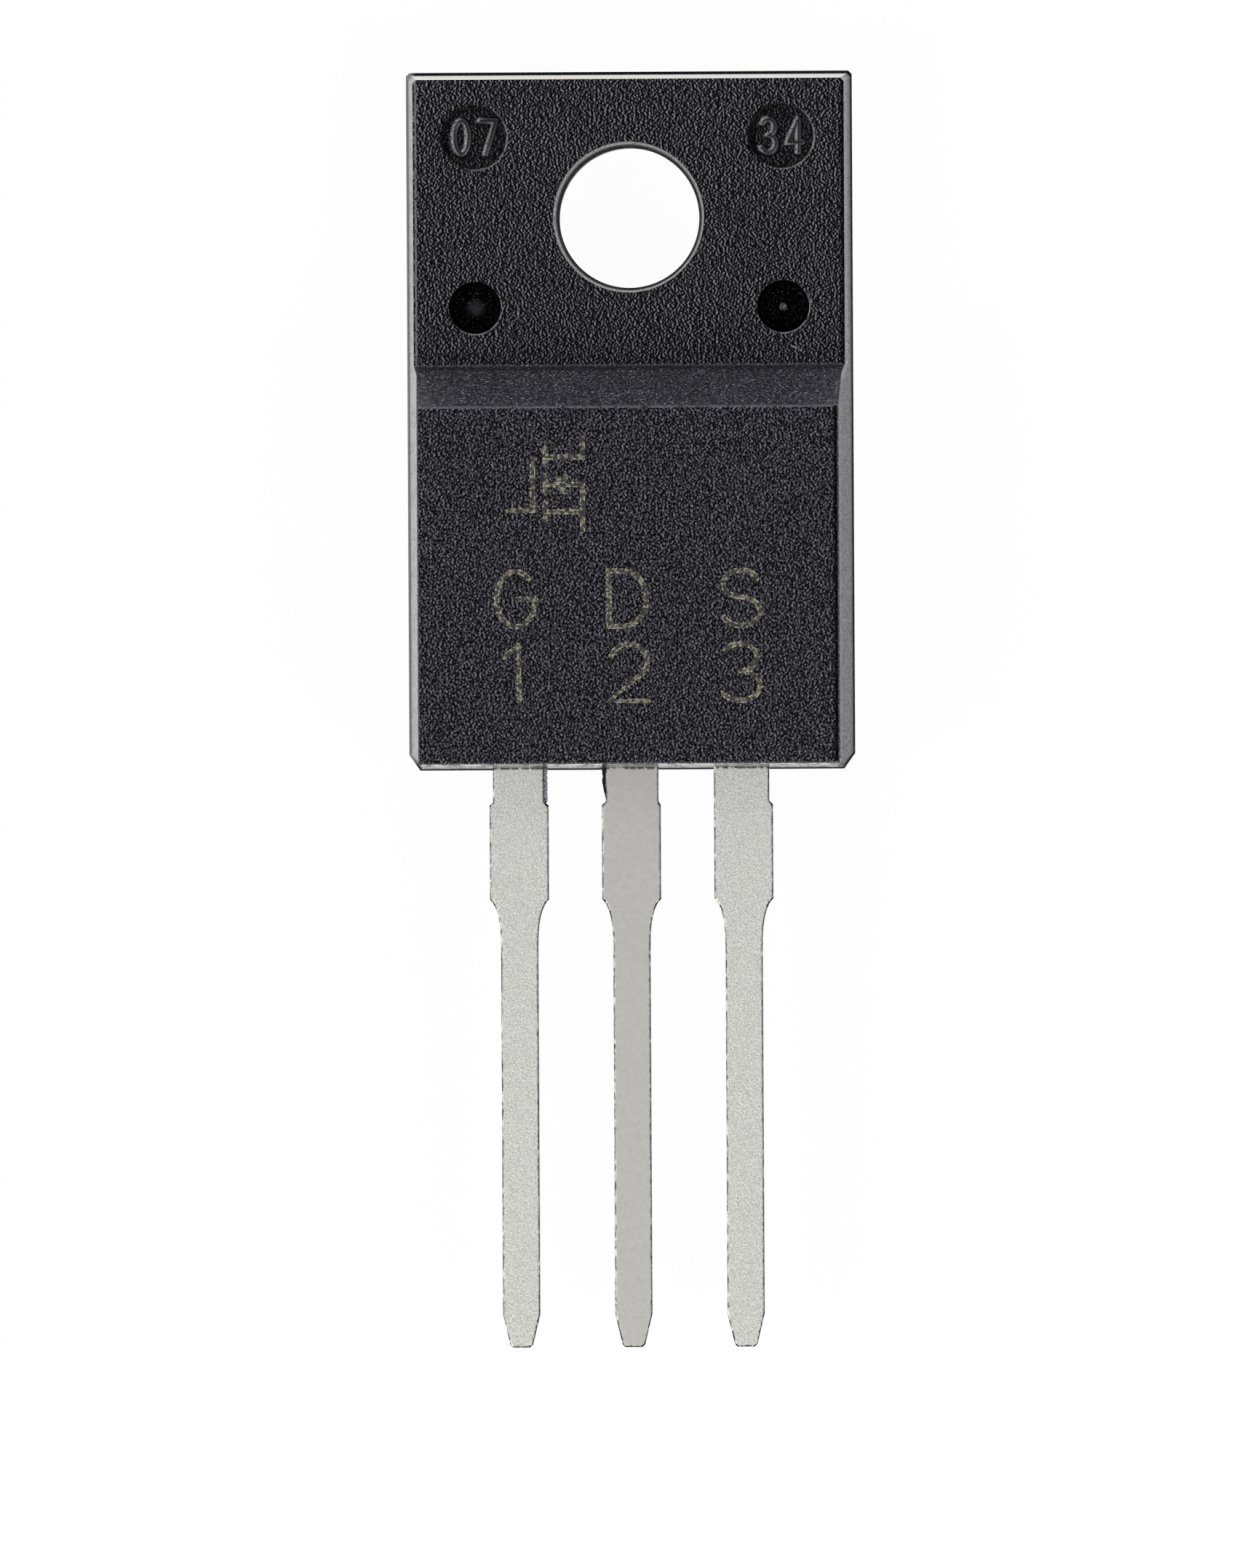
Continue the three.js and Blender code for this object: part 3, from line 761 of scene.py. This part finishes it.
def epoxy_finish():
    """Black moulding compound: spark-textured level faces in painted side light, a gritty slope and
    plain walls. The gloss of the tab's end wall is like satin metal when seen nearly edge-on, with
    a painted reflection tint, cream above and bluish below."""
    look = Shader("epoxy_moulding")
    at = body_regions(look)
    crest = lit_spark_ridges(look, at.place, at.on_tab)
    base = look.blend(at.slope, sparked_colour(look, at, crest), slope_colour(look, at))
    for add_detail in (
        paint_step_highlights,
        paint_well_rim_highlights,
        paint_ejector_rim_light,
        shade_and_light_face_edges,
        light_ledge_side,
        colour_well_floors,
        colour_walls,
        add_scuff,
    ):
        base = add_detail(look, at, base)

    edge = look.round_edge(EDGE_RADIUS, samples=4)
    ridged = look.bump(crest, SPARK_RELIEF, normal=edge)
    smooth = look.bump(at.fine, WALL_RELIEF, normal=edge)
    relief = look.add("Mix", {0: at.sparked, 4: smooth, 5: ridged}, data_type="VECTOR").outputs[1]

    facing = look.facing()
    end_wall = look.both(at.wall, look.remap(at.lean, *TURNED_TO))
    satin = look.both(end_wall, look.remap(facing, *SATIN_EDGE_ON), at.outside)
    shine = look.blend(look.remap(at.drop, *SATIN_DROP), REFLECTION_CREAM, REFLECTION_BLUE)
    grime = wall_grime(look, at, facing)
    unlit = look.most(at.in_well, look.both(at.waist, look.remap(at.patches, *WAIST_UNLIT)))
    specular = look.between(at.sparked, (SPECULAR_PLAIN, SPECULAR_SPARKED))
    return look.principled(
        Base_Color=look.blend(satin, base, shine),
        Metallic=satin,
        Roughness=look.mix(satin, epoxy_roughness(look, at), SATIN_ROUGHNESS),
        IOR=EPOXY_IOR,
        Specular_IOR_Level=look.mix(look.most(unlit, grime), specular, SPECULAR_UNLIT),
        Normal=relief,
        Coat_Weight=look.both(at.wall, wall_polish(look, at), at.outside, look.without(grime)),
        Coat_Roughness=POLISH_ROUGHNESS,
        Coat_IOR=POLISH_IOR,
    )


def smooth_epoxy_finish(name, lit_way, pale=0.4):
    """The same compound where the mould was polished, with pale painted light where it faces
    lit_way.
    """
    look = Shader(name)
    mottle = look.noise(look.place(), POLISHED_SIZE, detail=2.0, roughness=0.6)
    lit = look.remap(look.dot(look.normal(), lit_way), *POLISHED_LIT_FACING)
    share = look.math("MULTIPLY", lit, look.remap(mottle, *POLISHED_CREST))
    return look.principled(
        Base_Color=look.blend(share, POLISHED_DARK, grey(pale, COOL)),
        Roughness=POLISHED_ROUGHNESS,
        IOR=EPOXY_IOR,
        Normal=look.bump(mottle, POLISHED_RELIEF),
    )


def mark_finish():
    """Beige marking, brightest on the raised edges of a stroke as a painted highlight, with dark
    specks.
    """
    look = Shader("marking")
    place = look.place()
    height = look.split(place)[2]
    edge = look.remap(height, front_z + 0.5 * MARK_HEIGHT, front_z + 0.9 * MARK_HEIGHT)
    specks = look.noise(place, MARK_SPECK_SIZE, detail=2.0, roughness=0.7)
    cover = look.remap(specks, *MARK_COVER)
    share = look.math("MULTIPLY", cover, look.between(edge, MARK_EDGE_SHARE))
    return look.principled(
        Base_Color=look.blend(share, MARK_SPECK, MARK_INK),
        Roughness=MARK_ROUGHNESS,
        Normal=look.bump(specks, MARK_RELIEF),
    )


def cut_edge_shade(look, place, edge):
    """Masks of a cut lead's painted shade: dark, ragged, broken lines along its rounded edges, fewer
    on the lit -X side, and the ragged line where it leaves the moulding."""
    drawn = look.stretch(place, CUT_DRAWN)
    limit = look.noise(drawn, CUT_LIMIT_SIZE, detail=1.0)
    limit = look.remap(limit, *METAL_CREST, *CUT_LIMIT)
    bent = look.math("SUBTRACT", look.dot(edge, look.normal()), limit)
    bent = look.remap(bent, 0.0, CUT_SHARPNESS)
    breaks = look.noise(drawn, BREAK_SIZE, detail=3.0, roughness=0.7)
    side = look.remap(look.split(edge)[0], *BREAK_TURN, *BREAK_ADDED)
    breaks = look.math("ADD", breaks, side)
    breaks = look.remap(breaks, *BREAK_CREST)
    jagged = look.math("ADD", look.split(place)[1], look.math("MULTIPLY", breaks, ROOT_JAGS))
    root = look.both(look.near(jagged, lead_end_y + ROOT_OFFSET, ROOT_LINE), breaks)
    return look.both(bent, breaks), root


def metal_colour(look, place, light, dark, grain_size):
    """Slanted fine grain, and its colour."""
    sockets = {"Vector": place, "Rotation": (0, 0, METAL_TURN), "Scale": METAL_DRAWN}
    slanted = look.add("Mapping", sockets, vector_type="TEXTURE").outputs[0]
    grain = look.noise(slanted, grain_size, detail=2.0, roughness=0.6)
    return grain, look.blend(look.remap(grain, *METAL_CREST), dark, light)


def metal_finish(name, light, dark, roughness, grain_size):
    """Fine-grained satin metal."""
    look = Shader(name)
    grain, base = metal_colour(look, look.place(), light, dark, grain_size)
    edge = look.round_edge(CUT_REACH, samples=8)
    return look.principled(
        Base_Color=base,
        Metallic=1.0,
        Roughness=roughness,
        Normal=look.bump(grain, METAL_RELIEF, normal=edge),
    )


def lead_finish(name, light, dark, roughness, grain_size):
    """Tinned copper, cut from strip: painted shade along its cut edges and where it leaves the
    moulding, and bare inside the moulding.
    """
    look = Shader(name)
    place = look.place()
    grain, base = metal_colour(look, place, light, dark, grain_size)
    edge = look.round_edge(CUT_REACH, samples=8)
    painted_edge_line, root = cut_edge_shade(look, place, edge)
    base = look.blend(painted_edge_line, base, CUT_SHADE)
    base = look.blend(look.math("MULTIPLY", root, ROOT_SHARE), base, ROOT_SHADE)
    base = look.blend(look.remap(look.split(place)[1], *bare_y), base, COPPER)
    return look.principled(
        Base_Color=base,
        Metallic=look.without(painted_edge_line),
        Roughness=roughness,
        Specular_IOR_Level=look.between(painted_edge_line, (SPECULAR_PLAIN, 0.0)),
        Normal=look.bump(grain, METAL_RELIEF, normal=edge),
    )


def silicon_finish():
    """The die: dark silicon with a bright top metal in fine cells."""
    look = Shader("silicon")
    cells = look.noise(look.place(), CELL_SIZE, detail=0.0)
    top = look.blend(look.remap(cells, *CELL_CREST), CELL_WALL, CELL_TOP)
    on_top = look.remap(look.split(look.normal())[2], *DIE_TOP_RISE)
    return look.principled(
        Base_Color=look.blend(on_top, DIE_SIDE, top),
        Metallic=1.0,
        Roughness=DIE_ROUGHNESS,
        Normal=look.bump(cells, DIE_RELIEF),
    )


def dress(node, material):
    """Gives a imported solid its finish."""
    mesh = frame["nodes"][node].data
    mesh.materials.clear()
    mesh.materials.append(material)


def add_piece(name, verts, faces, material, smooth=False):
    """A mesh piece that rides on the transistor."""
    mesh = bpy.data.meshes.new(name)
    mesh.from_pydata(verts, [], faces)
    mesh.materials.append(material)
    mesh.polygons.foreach_set("use_smooth", [smooth] * len(mesh.polygons))
    piece = bpy.data.objects.new(name, mesh)
    bpy.context.scene.collection.objects.link(piece)
    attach(piece, "root")
    return piece


def arc(centre, radii, start, stop):
    """Points round an ellipse from the angle start to the angle stop, in degrees."""
    count = math.ceil(abs(stop - start) / ARC_STEP)
    turns = [math.radians(start + (stop - start) * i / count) for i in range(count + 1)]
    across, up = radii
    return [
        (round(centre[0] + across * math.cos(t), 6), round(centre[1] + up * math.sin(t), 6))
        for t in turns
    ]


# Strokes of each character, in a box one unit high and GLYPH_WIDTH wide. A stroke whose two ends
# meet is a loop.
GLYPHS = {
    "G": [arc((0.35, 0.5), (0.35, 0.5), 48, 360) + [(0.42, 0.5)]],
    "D": [[(0, 0), (0, 1)] + arc((0.26, 0.5), (0.42, 0.5), 90, -90) + [(0, 0)]],
    "S": [arc((0.35, 0.76), (0.32, 0.24), 25, 270) + arc((0.35, 0.26), (0.34, 0.26), 90, -155)[1:]],
    "0": [arc((0.35, 0.5), (0.33, 0.5), 0, 360)],
    "1": [[(0.13, 0.78), (0.4, 1), (0.4, 0)]],
    "2": [arc((0.35, 0.69), (0.33, 0.31), 160, -38) + [(0, 0), (0.7, 0)]],
    "3": [arc((0.33, 0.76), (0.3, 0.24), 150, -90), arc((0.33, 0.26), (0.35, 0.26), 90, -150)],
    "4": [[(0.5, 1), (0, 0.3), (0.7, 0.3)], [(0.5, 1), (0.5, 0)]],
    "7": [[(0, 1), (0.7, 1), (0.25, 0)]],
}

# A field-effect transistor's plain circuit symbol, in units of half its height.
SYMBOL = [
    [(-0.95, -0.55), (-0.42, -0.55), (-0.42, 0.55)],
    [(-0.15, 0.78), (-0.15, 0.4)],
    [(-0.15, 0.19), (-0.15, -0.19)],
    [(-0.15, -0.4), (-0.15, -0.78)],
    [(-0.15, 0.59), (0.65, 0.59), (0.65, 1.0)],
    [(-0.15, -0.59), (0.65, -0.59)],
    [(-0.15, 0), (0.65, 0), (0.65, -1.0)],
    [(0.3, 0.17), (0.02, 0), (0.3, -0.17)],
]


def place_strokes(strokes, x, y, scale, narrow=1.0):
    """Strokes scaled from their own units, with their origin at x and y."""
    across = scale * narrow
    return [[Vector((x + across * u, y + scale * v)) for u, v in stroke] for stroke in strokes]


def place_text(text, x, y, height, pitch, narrow=1.0):
    """A row of characters centred on x and y, each centred on its own place."""
    strokes = []
    first = x - pitch * (len(text) - 1) / 2
    for index, character in enumerate(text):
        left = first + pitch * index - GLYPH_WIDTH * narrow * height / 2
        strokes += place_strokes(GLYPHS[character], left, y - height / 2, height, narrow)
    return strokes


def sweep_stroke(points, half_width, profile, base, top, verts, faces):
    """Adds one closed ridge along points: mitred corners, round ends and a flat underside."""
    loop = points[0] == points[-1]
    if loop:
        points = points[:-1]
    count = len(points)
    sides = [(-t, h) for t, h in reversed(profile[1:])] + list(profile)
    middle = len(profile) - 1

    def put(place, share):
        verts.append((place.x, place.y, base + (top - base) * share))
        return len(verts) - 1

    rows = []
    ways = []
    for i, point in enumerate(points):
        near = []
        if loop or i > 0:
            near.append((point - points[i - 1]).normalized())
        if loop or i < count - 1:
            near.append((points[(i + 1) % count] - point).normalized())
        way = sum(near, Vector((0, 0))).normalized()
        across = Vector((-way.y, way.x)) * min(MITRE_LIMIT, 1 / way.dot(near[0])) * half_width
        rows.append([put(point + across * t, h) for t, h in sides])
        ways.append(way)
    steps = count if loop else count - 1
    for i in range(steps):
        row, following = rows[i], rows[(i + 1) % count]
        for k in range(len(sides) - 1):
            faces.append((row[k], following[k], following[k + 1], row[k + 1]))
        faces.append((row[0], row[-1], following[-1], following[0]))
    if loop:
        return
    for point, row, way in ((points[0], rows[0][::-1], -ways[0]), (points[-1], rows[-1], ways[-1])):
        # Each end turns the half profile about its point, from one side of the stroke to the other.
        across = Vector((-way.y, way.x)) * half_width
        forward = way * half_width
        rays = [row[middle:]]
        for step in range(1, END_STEPS):
            turn = math.pi * step / END_STEPS
            out = across * math.cos(turn) + forward * math.sin(turn)
            rays.append([row[middle]] + [put(point + out * t, h) for t, h in profile[1:]])
        rays.append(row[middle::-1])
        for ray, following in zip(rays, rays[1:]):
            faces.append((ray[0], following[1], ray[1]))
            for k in range(1, middle):
                faces.append((ray[k], following[k], following[k + 1], ray[k + 1]))
        faces.append([ray[-1] for ray in rays])


def add_strokes(name, strokes, width, profile, floor_z, rise, material):
    """One piece of ridges along strokes, each sunk a hair into the surface that carries it."""
    verts, faces = [], []
    for stroke in strokes:
        sweep_stroke(stroke, width / 2, profile, floor_z - SINK, floor_z + rise, verts, faces)
    return add_piece(name, verts, faces, material, smooth=True)


def add_marks(material):
    """The circuit symbol, and the terminals' letters and numbers over their leads."""
    symbol = place_strokes(SYMBOL, SYMBOL_X, lead_end_y + SYMBOL_SETBACK, SYMBOL_HALF)
    add_strokes("front_symbol", symbol, MARK_STROKE, MARK_PROFILE, front_z, MARK_HEIGHT, material)
    for text, setback, height in ROWS:
        row = place_text(text, 0, lead_end_y + setback, height, lead_pitch)
        name = "front_row_" + text
        add_strokes(name, row, MARK_STROKE, MARK_PROFILE, front_z, MARK_HEIGHT, material)


def add_cavity_numbers(material):
    floor_z = tab_z - EJECTOR_DEPTH
    pitch = (GLYPH_WIDTH * NUMBER_NARROW + NUMBER_GAP) * NUMBER_HEIGHT
    for side, text in zip((-1, 1), CAVITY_NUMBERS):
        x, y = side * EJECTOR_SPACING / 2, tab_end_y - EJECTOR_SETBACK
        row = place_text(text, x, y, NUMBER_HEIGHT, pitch, NUMBER_NARROW)
        name = "cavity_number_" + text
        add_strokes(name, row, NUMBER_STROKE, NUMBER_PROFILE, floor_z, NUMBER_RISE, material)


def add_flash(name, lead_x, side, trim, full, length, seed, material):
    """Thin resin along one cut edge of a lead, from the moulding outwards, with a torn outer edge.
    It keeps its width for the length full, and narrows from there."""
    chance = random.Random(seed)
    edge = lead_x + side * (STUB_WIDTH / 2 - trim)
    top, bottom = lead_high.z - FLASH_SHRINK, lead_low.z + FLASH_SHRINK
    start = lead_end_y + FLASH_INSET
    count = round((length + FLASH_INSET) / FLASH_STEP)
    verts, faces = [], []
    for i in range(count + 1):
        y = start - i * FLASH_STEP
        gone = max(0.0, (lead_end_y - y - full) / (length - full))
        width = FLASH_WIDTH * (1 - FLASH_TAPER * gone) * chance.uniform(*FLASH_RAGGED)
        outer = edge + side * width
        verts += [(edge, y, top), (outer, y, top), (outer, y, bottom), (edge, y, bottom)]
    for i in range(count):
        a, b = 4 * i, 4 * i + 4
        for k in range(4):
            n = (k + 1) % 4
            face = (a + k, a + n, b + n, b + k)
            faces.append(face if side > 0 else face[::-1])
    ends = [(3, 2, 1, 0), tuple(4 * count + k for k in range(4))]
    faces += ends if side > 0 else [face[::-1] for face in ends]
    return add_piece(name, verts, faces, material)


def add_well_ring(material):
    """A small ring left by the pin, in the middle of the +X well."""
    centre = Vector((WELL_SPACING / 2, tab_end_y - WELL_SETBACK, WELL_FLOOR_Z))
    verts = [centre + Vector((0, 0, RING_PROFILE[0][1] * MM))]
    for radius, height in RING_PROFILE[1:]:
        for i in range(RING_SIDES):
            turn = math.tau * i / RING_SIDES
            flat = Vector((math.cos(turn), math.sin(turn), 0)) * radius * MM
            verts.append(centre + flat + Vector((0, 0, height * MM)))
    faces = []
    for i in range(RING_SIDES):
        n = (i + 1) % RING_SIDES
        faces.append((0, 1 + i, 1 + n))
        for k in range(len(RING_PROFILE) - 2):
            inner, outer = 1 + k * RING_SIDES, 1 + (k + 1) * RING_SIDES
            faces.append((inner + i, outer + i, outer + n, inner + n))
    last = 1 + (len(RING_PROFILE) - 2) * RING_SIDES
    faces.append([last + i for i in reversed(range(RING_SIDES))])
    return add_piece("well_ring", verts, faces, material, smooth=True)


add_camera()
add_world()
add_floor()
for lamp in LAMPS:
    add_lamp(*lamp)

# Polished compound for the cavity numbers, the well ring and the two flashes, each with painted
# light on the faces turned to its given way.
number_epoxy = smooth_epoxy_finish("smooth_epoxy", (-0.8, 0.5, 0.3))
ring_epoxy = smooth_epoxy_finish("ring_epoxy", (-0.5, 0.3, 0.8), pale=0.16)
flash_epoxy = smooth_epoxy_finish("flash_epoxy", (0, 0, -1))
torn_epoxy = smooth_epoxy_finish("torn_epoxy", (0, 0, 1), pale=0.3)
tin = lead_finish("tinned_copper", grey(0.93, WARM), grey(0.5, WARM), 0.5, TIN_GRAIN)
smooth_tin = lead_finish("tinned_frame", grey(0.82, WARMER), grey(0.77, WARMER), 0.42, FRAME_GRAIN)
aluminium = metal_finish("aluminium_wire", grey(0.9), grey(0.8), 0.3, WIRE_GRAIN)
solder = metal_finish("solder", grey(0.5), grey(0.38), 0.45, SOLDER_GRAIN)

dress("moulded_body", epoxy_finish())
dress("gate_lead", tin)
dress("source_lead", tin)
dress("drain_frame", smooth_tin)
dress("die_attach", solder)
dress("silicon_die", silicon_finish())
for wire in ("gate_bond_wire", "source_bond_wire_1", "source_bond_wire_2"):
    dress(wire, aluminium)

add_marks(mark_finish())
add_cavity_numbers(number_epoxy)
add_flash(
    "gate_flash", -lead_pitch, side=1, trim=GATE_TRIM,
    full=0.7 * MM, length=0.85 * MM, seed=3, material=torn_epoxy,
)
add_flash(
    "drain_flash", 0, side=-1, trim=DRAIN_TRIM,
    full=0.35 * MM, length=0.6 * MM, seed=5, material=flash_epoxy,
)
add_well_ring(ring_epoxy)

scene = bpy.context.scene
scene.view_settings.view_transform = "Standard"

import json
